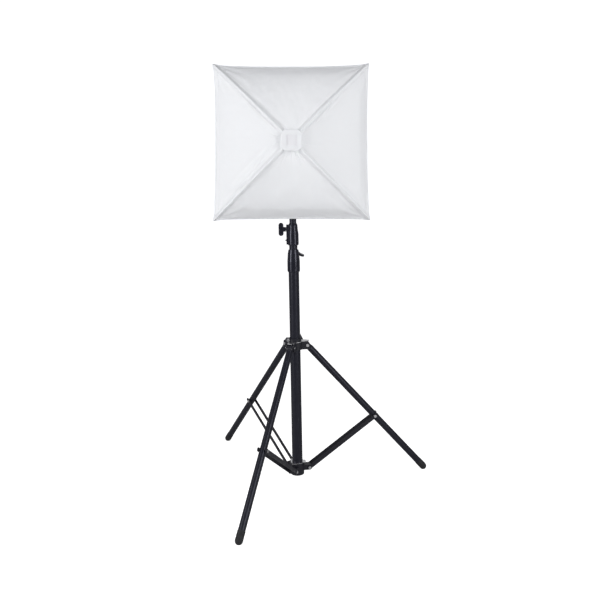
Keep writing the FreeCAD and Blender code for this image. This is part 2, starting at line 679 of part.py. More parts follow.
def softbox_sides():
    return Part.makeCompound(four_round(lower_side(SIDE_PROFILE, 0, 0, FABRIC_THICKNESS)))


def front_cover():
    return Part.makeCompound(four_round(lower_side(COVER_PROFILE, 0, 0, FABRIC_THICKNESS)))


def rim_tape():
    """Strips of binding tape round the outside of the rim."""
    radius, _, _, start_angle, end_angle = bow_arc(SIDE_PROFILE)
    length = radius * abs(end_angle - start_angle)
    strip = lower_side(SIDE_PROFILE, 1 - TAPE_WIDTH / length, -TAPE_GAP - TAPE_THICKNESS, -TAPE_GAP)
    return Part.makeCompound(four_round(strip))


def seam_point(profile, offset, share):
    """Point beside the upper right corner seam: inside the sides, or outside the cover."""
    step = 0.001
    depth, half = bow_point(profile, share, 0)
    next_depth, next_half = bow_point(profile, share + step, 0)
    along = Vector(0, next_depth - depth, (next_half - half) * math.sqrt(2)).normalize()
    corner = Vector(0, depth, half * math.sqrt(2))
    beside = corner + Vector(0, along.z, -along.y) * offset
    return Vector(beside.z / math.sqrt(2), -beside.y, AXIS_HEIGHT + beside.z / math.sqrt(2))


def socket_line(profile, offset, length):
    """Both ends of the straight stretch of rod that is held at the seam's start."""
    front = seam_point(profile, offset, 0)
    along = (seam_point(profile, offset, 0.001) - front).normalize()
    return front - along * length, front


def rod_socket_line():
    return socket_line(SIDE_PROFILE, ROD_INSET, ROD_SOCKET_LENGTH)


def rib_socket_line():
    return socket_line(COVER_PROFILE, RIB_OFFSET, RIB_SOCKET_LENGTH)


def seam_rod(profile, offset, socket, last_share):
    """Spring rod, straight in its socket and bowed along the seam."""
    back, front = socket
    samples = 8
    points = [seam_point(profile, offset, last_share * step / samples) for step in range(samples + 1)]
    tip_direction = points[-1] - seam_point(profile, offset, last_share - 0.001)
    curve = Part.BSplineCurve()
    curve.interpolate(Points=points, InitialTangent=front - back, FinalTangent=tip_direction)
    path = Part.Wire([Part.makeLine(back, front), curve.toShape()])
    section = Part.Wire(Part.makeCircle(ROD_RADIUS, back, front - back))
    return path.makePipeShell([section], True, True)


def softbox_rods():
    return Part.makeCompound(four_round(seam_rod(SIDE_PROFILE, ROD_INSET, rod_socket_line(), 0.97)))


def front_ribs():
    return Part.makeCompound(four_round(seam_rod(COVER_PROFILE, RIB_OFFSET, rib_socket_line(), 0.985)))


def rod_ring():
    """Ring round the socket with a barrel for each rod."""
    back, front = rod_socket_line()
    along = (front - back).normalize()
    barrel = cylinder_between(back - along * 8, front, ROD_SOCKET_RADIUS)
    bore = cylinder_between(back, front, ROD_RADIUS + SLIDE_GAP)
    ring = joined([along_axis(RING_RADIUS, RING_FRONT, HOLDER_FRONT)] + four_round(barrel))
    for hole in four_round(bore):
        ring = ring.cut(hole)
    return ring.cut(along_axis(SOCKET_RADIUS, RING_FRONT - 30, HOLDER_FRONT))


def square_on_axis(half, front, back):
    """Square bar on the softbox's axis, between two depths."""
    return block(Vector(-half, -front, AXIS_HEIGHT - half), Vector(half, -back, AXIS_HEIGHT + half))


def front_hub():
    """Octagonal hub with a square recess; it holds the ribs and its boss fills the cover's opening."""
    back = APEX_DEPTH + 0.3
    front = back + FRONT_HUB_THICKNESS
    corners_off = about_axis(square_on_axis(FRONT_HUB_DIAGONAL, front, back), 45)
    plate = square_on_axis(FRONT_HUB_HALF, front, back).common(corners_off)
    front_edges = [edge for edge in plate.Edges if edge.BoundBox.YMax < 0.01 - front]
    plate = plate.makeChamfer(1.5, front_edges)
    hub = joined([plate, square_on_axis(APEX_HALF - 1, back, APEX_DEPTH - 4)])
    hub = hub.cut(square_on_axis(FRONT_HUB_RECESS_HALF, front, front - FRONT_HUB_RECESS))
    inner_end, outer_end = rib_socket_line()
    for bore in four_round(cylinder_between(inner_end, outer_end, ROD_RADIUS + SLIDE_GAP)):
        hub = hub.cut(bore)
    return hub


def build_stand():
    save("lower_column_tube", lower_column_tube())
    save("column_bottom_plug", column_bottom_plug())
    save("middle_lock_collar", middle_lock_collar())
    save("middle_lock_screw", lock_screw(MIDDLE_RADIUS + 0.2, MIDDLE_KNOB_HEIGHT, MIDDLE_KNOB_AZIMUTH))
    save("middle_lock_knob", t_knob(25, 34.5, MIDDLE_KNOB_HEIGHT, MIDDLE_KNOB_AZIMUTH, -70))
    save("middle_tube", upright_tube(MIDDLE_RADIUS, MIDDLE_BORE, MIDDLE_LOW, MIDDLE_TOP))
    save("middle_tube_guide", guide_bush(MIDDLE_RADIUS, COLUMN_BORE, MIDDLE_LOW))
    save("top_lock_collar", top_lock_collar())
    save("top_lock_screw", lock_screw(TOP_RADIUS + 0.2, TOP_KNOB_HEIGHT, TOP_KNOB_AZIMUTH))
    save("top_lock_knob", t_knob(26, 34.5, TOP_KNOB_HEIGHT, TOP_KNOB_AZIMUTH, 0))
    save("top_tube", upright_tube(TOP_RADIUS, TOP_BORE, TOP_LOW, TOP_TOP))
    save("top_tube_guide", guide_bush(TOP_RADIUS, MIDDLE_BORE, TOP_LOW))
    save("leg_hub", leg_hub())
    save("leg_hub_plate", hub_cover_plate(HUB_BRACKET_TOP, HUB_NECK_RADIUS, CHEEK_REACH))
    save("leg_hub_pins", leg_hub_pins())
    save("leg_hub_bolt", leg_hub_bolt())
    save("leg_hub_screw", lock_screw(COLUMN_RADIUS + 0.2, HUB_KNOB_HEIGHT, HUB_KNOB_AZIMUTH))
    save("leg_hub_knob", t_knob(28.5, 35, HUB_KNOB_HEIGHT, HUB_KNOB_AZIMUTH, -30, HUB_KNOB_STEM_RADIUS))
    save("spreader_hub", spreader_hub())
    save("spreader_hub_plate", hub_cover_plate(SPREADER_TOP, COLUMN_RADIUS, 30))
    save("spreader_pins", spreader_pins())


def build_legs():
    for number, azimuth in LEG_AZIMUTHS.items():
        save(f"leg_{number}_tube", turned(leg_tube(), azimuth))
        save(f"leg_{number}_top_fitting", turned(leg_top_fitting(), azimuth))
        save(f"leg_{number}_strut_pin", turned(leg_strut_pin(), azimuth))
        save(f"leg_{number}_foot", turned(leg_foot(), azimuth))
        save(f"strut_{number}_bars", turned(strut_bars(), azimuth))
        save(f"strut_{number}_rivets", turned(strut_rivets(), azimuth))


def build_head():
    save("spigot", spigot())
    save("tilt_bracket", tilt_bracket())
    save("bracket_clamp_knob", bracket_clamp_knob())
    save("tilt_bolt", tilt_bolt())
    save("tilt_lever", tilt_lever())
    save("lamp_holder_body", lamp_holder_body())
    save("rear_cover", rear_cover())
    save("power_switch", power_switch())
    save("power_inlet", power_inlet())
    save("lamp_socket", lamp_socket())
    save("lamp_cap", lamp_cap())
    save("lamp_base", lamp_base())
    save("lamp_tubes", lamp_tubes())


def build_softbox():
    pieces = {"rod_ring": rod_ring(), "softbox_rods": softbox_rods(), "softbox_sides": softbox_sides(),
              "rim_tape": rim_tape(), "front_cover": front_cover(), "front_ribs": front_ribs(),
              "front_hub": front_hub()}
    for name, shape in pieces.items():
        save(name, about_axis(shape, SOFTBOX_TURN))


os.makedirs("parts", exist_ok=True)
build_stand()
build_legs()
build_head()
build_softbox()
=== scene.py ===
import bpy
import json
import math
from mathutils import Matrix, Vector, noise
from mathutils.bvhtree import BVHTree


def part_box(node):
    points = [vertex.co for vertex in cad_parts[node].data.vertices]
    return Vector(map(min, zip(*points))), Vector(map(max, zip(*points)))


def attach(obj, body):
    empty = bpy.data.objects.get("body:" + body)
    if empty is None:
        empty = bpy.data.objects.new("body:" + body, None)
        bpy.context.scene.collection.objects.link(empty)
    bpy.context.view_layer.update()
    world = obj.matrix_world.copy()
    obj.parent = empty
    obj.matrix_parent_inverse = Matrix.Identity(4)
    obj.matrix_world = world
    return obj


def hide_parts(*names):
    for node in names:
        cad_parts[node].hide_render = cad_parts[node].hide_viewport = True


# A studio softbox on a light stand. Metres, +Z up; the softbox faces -Y, +X to the right.

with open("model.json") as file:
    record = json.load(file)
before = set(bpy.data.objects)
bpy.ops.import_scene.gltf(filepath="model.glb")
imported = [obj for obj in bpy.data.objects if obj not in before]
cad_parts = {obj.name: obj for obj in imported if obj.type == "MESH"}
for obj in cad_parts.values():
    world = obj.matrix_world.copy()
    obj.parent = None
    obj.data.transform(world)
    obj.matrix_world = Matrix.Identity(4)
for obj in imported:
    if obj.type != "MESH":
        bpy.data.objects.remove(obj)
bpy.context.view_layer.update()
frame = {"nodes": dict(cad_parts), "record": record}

# Places and sizes from the frame
SIDES_LOW, SIDES_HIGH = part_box("softbox_sides")
COVER_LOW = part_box("front_cover")[0]
HUB_LOW, HUB_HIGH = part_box("front_hub")
TAPE_LOW, TAPE_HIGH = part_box("rim_tape")
BASE_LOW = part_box("lamp_base")[0]
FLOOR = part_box("leg_1_foot")[0].z
AXIS_HEIGHT = (HUB_LOW.z + HUB_HIGH.z) / 2
SOFTBOX_TURN = math.radians(0.83)       # clockwise about its axis, as seen from the front
RIM_HALF = (AXIS_HEIGHT - SIDES_LOW.z) / (math.cos(SOFTBOX_TURN) + math.sin(SOFTBOX_TURN))
RIM_DEPTH = 0.290                       # from the stand's axis to where the sides end
COVER_GAP = 0.002                       # between the sides and the cover, under the tape
RING_HALF = 0.045                       # half-width of the sides at the rod ring
APEX_HALF = 0.030                       # half-width of the cover under the hub
RING_RADIUS = 0.0425
FABRIC_INSET = 0.0008                   # cloth's middle surface inside a panel's outer face
FABRIC_THICKNESS = 0.0007

# Each side's outward direction round the softbox's axis, bottom first, then right, top and left
SIDE_NAMES = ["bottom", "right", "top", "left"]
TURNED = Matrix.Rotation(SOFTBOX_TURN, 3, "Y")
OUTWARD = [TURNED @ Vector(direction) for direction in ((0, 0, -1), (1, 0, 0), (0, 0, 1), (-1, 0, 0))]
SIDES = {name: (OUTWARD[number], OUTWARD[(number + 1) % 4]) for number, name in enumerate(SIDE_NAMES)}


# Shader nodes

class Shader:
    """A material's node tree with short calls for its nodes and links."""

    def __init__(self, name):
        self.material = bpy.data.materials.new(name)
        self.material.use_nodes = True
        self.tree = self.material.node_tree
        self.surface = self.tree.nodes["Principled BSDF"]
        self.coordinates = self.tree.nodes.new("ShaderNodeTexCoord")

    def connect(self, target, value):
        if isinstance(value, bpy.types.NodeSocket):
            self.tree.links.new(value, target)
        else:
            target.default_value = value

    def node(self, kind, inputs, output=0, **settings):
        made = self.tree.nodes.new("ShaderNode" + kind)
        for key, value in settings.items():
            setattr(made, key, value)
        for key, value in inputs.items():
            self.connect(made.inputs[key], value)
        return made.outputs[output]

    def place(self, stretch=(1, 1, 1), source="Object"):
        return self.node("Mapping", {"Vector": self.coordinates.outputs[source], "Scale": stretch})

    def noise(self, scale, detail=4.0, roughness=0.5, stretch=(1, 1, 1), source="Object"):
        return self.node("TexNoise", {"Vector": self.place(stretch, source), "Scale": scale, "Detail": detail,
                                      "Roughness": roughness})

    def math(self, operation, first, second=0.0):
        return self.node("Math", {0: first, 1: second}, operation=operation)

    def fit(self, value, low, high, to_low, to_high):
        """Maps low..high onto to_low..to_high, clamped."""
        return self.node("MapRange", {"Value": value, "From Min": low, "From Max": high,
                                      "To Min": to_low, "To Max": to_high})

    def mix(self, share, first, second):
        """Colour between two colours."""
        made = self.tree.nodes.new("ShaderNodeMix")
        made.data_type = "RGBA"
        for socket, value in zip((made.inputs[0], made.inputs[6], made.inputs[7]), (share, first, second)):
            self.connect(socket, value)
        return made.outputs[2]

    def bump(self, height, distance, strength=1.0, under=None):
        inputs = {"Height": height, "Distance": distance, "Strength": strength}
        if under is not None:
            inputs["Normal"] = under
        return self.node("Bump", inputs)

    def finish(self, **inputs):
        """Sets the surface's inputs, named with underscores for spaces."""
        for key, value in inputs.items():
            self.connect(self.surface.inputs[key.replace("_", " ")], value)
        return self.material


def grey(level, blue=1.0):
    return (level, level, level * blue, 1.0)


# Materials

def painted_tube():
    """Satin black coating with a faint vertical grain, small scratches and scuffs."""
    shader = Shader("satin_black_tube")
    grain = shader.noise(900, 3, stretch=(1, 1, 0.04))
    cloud = shader.noise(28, 5)
    scratches = shader.noise(260, 2, stretch=(1, 1, 0.12))
    worn = shader.fit(scratches, 0.69, 0.76, 0.0, 1.0)
    colour = shader.mix(cloud, grey(0.0078, 1.55), grey(0.0128, 1.55))
    colour = shader.mix(shader.math("MULTIPLY", worn, 0.25), colour, grey(0.035, 1.1))
    cloudy = shader.fit(cloud, 0.3, 0.7, 0.30, 0.38)
    roughness = shader.math("ADD", cloudy, shader.fit(grain, 0.3, 0.7, -0.03, 0.03))
    return shader.finish(Base_Color=colour, Roughness=roughness, Specular_IOR_Level=0.32,
                         Specular_Tint=(0.84, 0.86, 1.0, 1),
                         Normal=shader.bump(grain, 0.00002, 0.25))


def cast_black():
    """Powder-coated casting: a fine orange-peel grain, rubbed paler on its edges."""
    shader = Shader("powder_black_casting")
    peel = shader.noise(1500, 2)
    cloud = shader.noise(40, 4)
    colour = shader.mix(cloud, grey(0.008, 1.6), grey(0.013, 1.6))
    edge = edge_wear(shader, 0.0012)
    colour = shader.mix(shader.math("MULTIPLY", edge, 0.3), colour, grey(0.05, 1.15))
    return shader.finish(Base_Color=colour, Roughness=shader.fit(cloud, 0.3, 0.7, 0.40, 0.52),
                         Specular_IOR_Level=0.36,
                         Normal=shader.bump(peel, 0.0001, 0.5))


def edge_wear(shader, radius):
    """Mask that is 1 on convex edges, broken up by noise."""
    rounded = shader.node("Bevel", {"Radius": radius}, samples=4)
    straight = shader.node("NewGeometry", {}, output=1)
    turn = shader.node("VectorMath", {0: rounded, 1: straight}, output=1, operation="DOT_PRODUCT")
    edge = shader.fit(turn, 0.80, 0.985, 1.0, 0.0)
    return shader.math("MULTIPLY", edge, shader.fit(shader.noise(320, 4), 0.42, 0.62, 0.0, 1.0))


def moulded_black():
    """Moulded plastic with a spark-eroded texture."""
    shader = Shader("moulded_black_plastic")
    grain = shader.noise(2200, 2, 0.7)
    cloud = shader.noise(35, 4)
    colour = shader.mix(cloud, grey(0.007, 1.7), grey(0.011, 1.7))
    edge = edge_wear(shader, 0.0010)
    colour = shader.mix(shader.math("MULTIPLY", edge, 0.15), colour, grey(0.03, 1.2))
    return shader.finish(Base_Color=colour, Roughness=shader.fit(cloud, 0.3, 0.7, 0.20, 0.28),
                         Specular_IOR_Level=0.45, Specular_Tint=(0.84, 0.86, 1.0, 1),
                         Normal=shader.bump(grain, 0.00001, 0.3))


def bright_steel():
    """Zinc-plated steel, brushed, with dull patches."""
    shader = Shader("bright_zinc_steel")
    brushed = shader.noise(700, 3, stretch=(0.08, 1, 1))
    patches = shader.noise(90, 5)
    colour = shader.mix(patches, grey(0.50, 1.03), grey(0.72, 1.01))
    patchy = shader.fit(patches, 0.3, 0.7, 0.24, 0.40)
    roughness = shader.math("ADD", patchy, shader.fit(brushed, 0.3, 0.7, -0.05, 0.05))
    return shader.finish(Base_Color=colour, Metallic=1.0, Roughness=roughness,
                         Normal=shader.bump(brushed, 0.00003, 0.4))


def foot_rubber():
    """Matt rubber, dusty towards the floor."""
    shader = Shader("foot_rubber")
    pores = shader.noise(1300, 3)
    dust = shader.noise(120, 5)
    height = shader.node("SeparateXYZ", {"Vector": shader.coordinates.outputs["Object"]}, output=2)
    low = shader.fit(height, FLOOR, FLOOR + 0.02, 1.0, 0.0)
    dusty = shader.math("MULTIPLY", low, shader.fit(dust, 0.4, 0.65, 0.1, 0.5))
    colour = shader.mix(dusty, grey(0.010, 1.2), grey(0.040, 1.0))
    return shader.finish(Base_Color=colour, Roughness=shader.fit(dust, 0.3, 0.7, 0.62, 0.78),
                         Normal=shader.bump(pores, 0.00012, 0.6))


def weave_height(shader, pitch):
    """Plain weave from the cloth's own coordinates in metres: threads pass over and under in turn."""
    uv = shader.coordinates.outputs["UV"]
    across = shader.node("SeparateXYZ", {"Vector": uv}, output=0)
    along = shader.node("SeparateXYZ", {"Vector": uv}, output=1)
    turn = 2 * math.pi / pitch
    warp = shader.math("SINE", shader.math("MULTIPLY", across, turn))
    weft = shader.math("SINE", shader.math("MULTIPLY", along, turn))
    half_warp = shader.math("SINE", shader.math("MULTIPLY", across, turn / 2))
    half_weft = shader.math("SINE", shader.math("MULTIPLY", along, turn / 2))
    crossing = shader.math("MULTIPLY", half_warp, half_weft)
    threads = shader.math("ADD", shader.math("ABSOLUTE", warp), shader.math("ABSOLUTE", weft))
    return shader.math("ADD", threads, crossing)


def white_cloth():
    """Coated white nylon: plain weave, fine wrinkles and soft creases."""
    shader = Shader("white_nylon_cloth")
    weave = weave_height(shader, 0.0009)
    creases = shader.noise(22, 5, 0.55)
    fine = shader.noise(140, 4, 0.6)
    colour = shader.mix(shader.noise(9, 3), (0.895, 0.905, 0.925, 1), (0.925, 0.935, 0.95, 1))
    under = shader.bump(creases, 0.0035, 0.35)
    middle = shader.bump(fine, 0.0006, 0.35, under)
    return shader.finish(Base_Color=colour, Roughness=0.62, Sheen_Weight=0.15, Sheen_Roughness=0.5,
                         Specular_IOR_Level=0.3, Normal=shader.bump(weave, 0.00008, 0.5, middle))


def sleeve_cloth():
    """The same nylon with short cross creases where it is drawn over the rods; the creases' hollows are
    painted darker as shade.
    """
    shader = Shader("white_sleeve_cloth")
    weave = weave_height(shader, 0.0009)
    crease_relief_and_shade = shader.noise(60, 4, 0.6, stretch=(0.35, 1.6, 1), source="UV")
    # Painted shade: the colour darkens in the hollows of the creases.
    colour = shader.mix(crease_relief_and_shade, (0.88, 0.89, 0.91, 1), (0.925, 0.935, 0.95, 1))
    return shader.finish(Base_Color=colour, Roughness=0.6, Sheen_Weight=0.15, Specular_IOR_Level=0.3,
                         Normal=shader.bump(weave, 0.00008, 0.5, shader.bump(crease_relief_and_shade, 0.0018, 0.5)))


def binding_tape():
    """White grosgrain tape: fine ribs across it and a faint cloud."""
    shader = Shader("white_binding_tape")
    ribs = shader.node("TexWave", {"Vector": shader.place(source="UV"), "Scale": 210, "Distortion": 0.6})
    cloud = shader.noise(60, 4)
    colour = shader.mix(cloud, (0.88, 0.89, 0.91, 1), (0.93, 0.94, 0.95, 1))
    return shader.finish(Base_Color=colour, Roughness=0.72, Sheen_Weight=0.2, Specular_IOR_Level=0.3,
                         Normal=shader.bump(ribs, 0.0002, 0.4))


def thread():
    """Twisted white thread, close to the cloth's own colour, with painted shade darkening the grooves between
    its plies.
    """
    shader = Shader("white_thread")
    ply_relief_and_shade = shader.node("TexWave", {"Vector": shader.place(), "Scale": 1800, "Distortion": 1.5})
    # Painted shade: the thread is darker along the grooves between its plies.
    colour = shader.mix(ply_relief_and_shade, grey(0.76, 1.02), grey(0.90, 1.02))
    return shader.finish(Base_Color=colour, Roughness=0.7, Normal=shader.bump(ply_relief_and_shade, 0.0001, 0.5))


def opal_glass():
    """Phosphor-coated glass: white body under a clear smooth skin, with a faint painted glow for light
    scattered in the unlit tubes.
    """
    shader = Shader("opal_lamp_glass")
    coating = shader.noise(55, 3)
    depth = shader.node("SeparateXYZ", {"Vector": shader.coordinates.outputs["Object"]}, output=1)
    grey_end = shader.fit(depth, BASE_LOW.y - 0.012, BASE_LOW.y, 0.0, 0.55)
    colour = shader.mix(coating, (0.86, 0.875, 0.89, 1), (0.92, 0.93, 0.94, 1))
    colour = shader.mix(grey_end, colour, grey(0.45, 0.97))
    # Painted light: the faint emission makes the unlit glass glow as if lit from within.
    return shader.finish(Base_Color=colour, Roughness=0.35, Coat_Weight=0.5, Coat_Roughness=0.08,
                         Transmission_Weight=0.15, Emission_Color=grey(1.0, 1.02), Emission_Strength=0.12,
                         Normal=shader.bump(coating, 0.0003, 0.15))


def white_plastic():
    """Lamp base and socket: glossy white mouldings, slightly yellowed in patches."""
    shader = Shader("white_lamp_plastic")
    patches = shader.noise(30, 4)
    grain = shader.noise(1200, 2)
    colour = shader.mix(patches, (0.80, 0.80, 0.77, 1), (0.86, 0.86, 0.85, 1))
    return shader.finish(Base_Color=colour, Roughness=shader.fit(patches, 0.3, 0.7, 0.28, 0.4),
                         Normal=shader.bump(grain, 0.00005, 0.4))


def cast_aluminium():
    """Rod ring: turned aluminium with fine tool marks."""
    shader = Shader("turned_aluminium")
    marks = shader.noise(900, 2, stretch=(1, 0.1, 1))
    patches = shader.noise(70, 4)
    colour = shader.mix(patches, grey(0.42, 1.02), grey(0.56, 1.02))
    colour = shader.mix(shader.math("MULTIPLY", edge_wear(shader, 0.001), 0.6), colour, grey(0.8))
    return shader.finish(Base_Color=colour, Metallic=1.0, Roughness=shader.fit(patches, 0.3, 0.7, 0.3, 0.45),
                         Normal=shader.bump(marks, 0.00005, 0.5))


def drawn_rod():
    """Spring rod: drawn steel with lengthwise lines and faint oxide."""
    shader = Shader("drawn_spring_steel")
    lines = shader.noise(800, 2, stretch=(1, 0.2, 1))
    oxide = shader.noise(110, 5)
    colour = shader.mix(shader.fit(oxide, 0.5, 0.7, 0, 0.4), grey(0.5), (0.32, 0.27, 0.22, 1))
    return shader.finish(Base_Color=colour, Metallic=1.0, Roughness=shader.fit(oxide, 0.3, 0.7, 0.25, 0.45),
                         Normal=shader.bump(lines, 0.00004, 0.5))


def brass():
    """Lamp cap: thinly plated brass, stained."""
    shader = Shader("plated_brass")
    stain = shader.noise(150, 5)
    colour = shader.mix(stain, (0.62, 0.50, 0.28, 1), (0.78, 0.68, 0.45, 1))
    return shader.finish(Base_Color=colour, Metallic=1.0, Roughness=shader.fit(stain, 0.3, 0.7, 0.2, 0.38),
                         Normal=shader.bump(stain, 0.00005, 0.3))


def recess_shade_mask(shader):
    """Mask of the square recess in the hub's face, where a painted shade is laid."""
    depth = shader.node("SeparateXYZ", {"Vector": shader.coordinates.outputs["Object"]}, output=1)
    across = shader.node("SeparateXYZ", {"Vector": shader.coordinates.outputs["Object"]}, output=0)
    height = shader.node("SeparateXYZ", {"Vector": shader.coordinates.outputs["Object"]}, output=2)
    from_middle = shader.math("ABSOLUTE", shader.math("SUBTRACT", height, AXIS_HEIGHT))
    from_middle = shader.math("MAXIMUM", shader.math("ABSOLUTE", across), from_middle)
    inside = shader.fit(from_middle, 0.0165, 0.0175, 1.0, 0.0)
    sunk = shader.fit(depth, HUB_LOW.y + 0.0008, HUB_LOW.y + 0.0020, 0.0, 1.0)
    return shader.math("MULTIPLY", inside, sunk)


def hub_plastic():
    """White moulding with a fine satin grain; its recess is painted greyer as shade."""
    shader = Shader("white_hub_plastic")
    grain = shader.noise(1300, 2)
    patches = shader.noise(45, 4)
    colour = shader.mix(patches, (0.86, 0.87, 0.895, 1), (0.90, 0.91, 0.93, 1))
    # Painted shade: the recess floor is coloured greyer where shade would fall.
    colour = shader.mix(recess_shade_mask(shader), colour, grey(0.86, 1.03))
    return shader.finish(Base_Color=colour, Roughness=shader.fit(patches, 0.3, 0.7, 0.45, 0.58),
                         Normal=shader.bump(grain, 0.00006, 0.4))


def gloss_black():
    """Switch rocker: polished plastic with hairline wear."""
    shader = Shader("gloss_black_plastic")
    hairlines = shader.noise(500, 3, stretch=(1, 1, 0.1))
    colour = shader.mix(hairlines, grey(0.010), grey(0.020))
    return shader.finish(Base_Color=colour, Roughness=shader.fit(hairlines, 0.4, 0.7, 0.12, 0.28),
                         Normal=shader.bump(hairlines, 0.00002, 0.3))


MATERIAL_MAKERS = {
    "black_tube": painted_tube,
    "black_casting": cast_black,
    "black_bar": cast_black,
    "black_plastic": moulded_black,
    "bright_steel": bright_steel,
    "rubber": foot_rubber,
    "switch_plastic": gloss_black,
    "socket_plastic": white_plastic,
    "brass_cap": brass,
    "lamp_glass": opal_glass,
    "ring_casting": cast_aluminium,
    "spring_rod": drawn_rod,
    "white_fabric": white_cloth,
    "white_tape": binding_tape,
    "hub_plastic": hub_plastic,
}


def paint_frame():
    """Gives every CAD node the procedural material of its record slot, and returns the materials."""
    made = {}
    for row in frame["record"]["subparts"]:
        slot = row["material_slot"]
        if slot not in made:
            made[slot] = MATERIAL_MAKERS[slot]()
        node = frame["nodes"][row["node"]]
        node.data.materials.clear()
        node.data.materials.append(made[slot])
    return made


# Softbox shape

def smoothstep(low, high, value):
    share = min(1.0, max(0.0, (value - low) / (high - low)))
    return share * share * (3 - 2 * share)


def hump(share):
    """0 at both ends of 0..1 and 1 half-way."""
    return max(0.0, math.sin(math.pi * min(1.0, max(0.0, share)))) ** 0.7


class Profile:
    """Bowed middle line of the panels from their start to the rim, as depth (along -Y) and half-width."""

    def __init__(self, start, rim, half_turn):
        run = rim[0] - start[0]
        rise = rim[1] - start[1]
        quarter_turn = math.copysign(math.pi / 2, half_turn)
        slope = math.atan2(rise, run)
        self.radius = math.hypot(run, rise) / (2 * math.sin(abs(half_turn)))
        self.first_angle = slope + half_turn + quarter_turn
        self.last_angle = slope - half_turn + quarter_turn
        self.centre_depth = start[0] - self.radius * math.cos(self.first_angle)
        self.centre_half = start[1] - self.radius * math.sin(self.first_angle)
        self.length = self.radius * abs(self.last_angle - self.first_angle)

    def angle(self, share):
        return self.first_angle + (self.last_angle - self.first_angle) * share

    def depth_and_half(self, share):
        angle = self.angle(share)
        return (self.centre_depth + self.radius * math.cos(angle),
                self.centre_half + self.radius * math.sin(angle))

    def normal(self, side, share):
        """Unit normal of a panel, pointing out of the softbox."""
        angle = self.angle(share)
        return SIDES[side][0] * math.sin(angle) + Vector((0, -math.cos(angle), 0))

    def share_at(self, distance):
        """Share of the way at a distance in from the rim."""
        return 1 - distance / self.length


# The same arcs as the CAD panels: (depth, half-width) at the start and the rim, then half the arc's turn
BODY = Profile((-SIDES_HIGH.y, RING_HALF), (RIM_DEPTH, RIM_HALF), math.radians(17))
COVER = Profile((-COVER_LOW.y, APEX_HALF), (RIM_DEPTH + COVER_GAP, RIM_HALF), math.radians(-24))

# Shape of the cloth, in metres
BODY_STRETCH = 0.0070       # how far the panels are drawn in between their seams
COVER_STRETCH = 0.0062
# How far the middle of each side of the rim is drawn in
DRAWN_IN = {"bottom": 0.0035, "right": 0.0055, "top": 0.0078, "left": 0.0062}
KNEE_START = 0.78           # share of the way to the rim where the cover bends down
# How far the cover stands out beside each side of the rim, and how gradually it bends down from there
KNEE = {"bottom": (0.0105, 1.2), "right": (0.0170, 1.08), "top": (0.0094, 1.5), "left": (0.0065, 1.5)}
RIM_GROWTH = 0.0020         # the stretched rim stands a little outside the ribs' ends
RIM_DROP = Vector((0, 0, -0.0018))
RIM_EAR = 0.0028            # how far the rim's corners are pulled out
# How strongly each panel is gathered under the hub
HUB_GATHERS = {"bottom": 0.8, "right": 0.2, "top": 0.12, "left": 0.35}
HEM_WIDTH = 0.025
HEM_HEIGHT = 0.0003
HEM_REACH = 0.95            # how far the hem's stitching runs towards the rim's corners

# Rib sleeves on the cover: how wrinkled each one is, from bottom right round to bottom left
SLEEVE_WRINKLES = (0.35, 0.7, 0.5, 1.1)
SLEEVE_FOOT = 0.0100        # from the seam to where the sleeve leaves the cover
SLEEVE_FLANGE = 0.0032      # flat sewn edge beyond that
SLEEVE_CREST = 0.0064       # height of the sleeve over the seam
SLEEVE_END_CREST = 0.0020   # the same at the rim, where the sleeve closes
SEAM_LENGTH = COVER.length * 1.3    # a corner seam runs longer than the middle of a panel
RIB_CLEARANCE = 0.0007


def ripple(side, across, share, frequency, seed):
    """Smooth random relief over one panel."""
    place = Vector((across * (0.3 + share) * 2.2, share * 2.0, SIDE_NAMES.index(side) * 9.7 + seed))
    return noise.noise(place * frequency)


def corner_fold(side, across, share):
    """Tension folds that fan out of the rim's corners."""
    from_seam = (1 - abs(across)) * RIM_HALF
    from_rim = (1 - share) * RIM_HALF
    from_corner = math.hypot(from_seam, from_rim)
    if from_corner > 0.16:
        return 0.0
    turn = math.atan2(from_rim, from_seam + 1e-6)
    phase = SIDE_NAMES.index(side) * 1.9 + math.copysign(0.8, across)
    fade = smoothstep(0.16, 0.03, from_corner) * smoothstep(0.0, 0.02, from_corner)
    return 0.0011 * math.sin(turn * 11 + phase) * fade * (1 - abs(across) ** 12)


def cover_relief(side, across, share):
    """How far the front cover stands out from its arc: stretched in between the ribs, fuller near the rim."""
    free = 1 - across * across
    from_hub = COVER.length * share
    stretched = -COVER_STRETCH * free * hump(share)
    bent = min(1.0, max(0.0, (share - KNEE_START) / (1 - KNEE_START)))
    fullness, bend = KNEE[side]
    knee = fullness * (1 - across ** 4) * smoothstep(0.30, 0.80, share) * (1 - bent ** bend)
    slow = ripple(side, across, share, 1.6, 0) * 0.0022
    quick = ripple(side, across, share, 5.1, 3) * 0.0007
    turn = math.atan(across)
    pleat = noise.noise(Vector((turn * 15.0, share * 2.0, 67.0 + SIDE_NAMES.index(side) * 9.7)))
    near_hub = smoothstep(0.060, 0.010, from_hub) * smoothstep(0.0, 0.006, from_hub)
    gathers = pleat * 0.0030 * HUB_GATHERS[side] * near_hub
    edge = 1 - abs(across) ** 6
    hem = HEM_HEIGHT * smoothstep(HEM_WIDTH + 0.0015, HEM_WIDTH - 0.0015, COVER.length - from_hub)
    drape = (slow + quick) * smoothstep(0.0, 0.12, share) * smoothstep(1.0, 0.9, share)
    folds = slack_folds(side, across, share) * smoothstep(1.0, 0.97, abs(across))
    return stretched + knee + (drape + gathers) * edge + seam_drag(side, across, share) + folds + hem


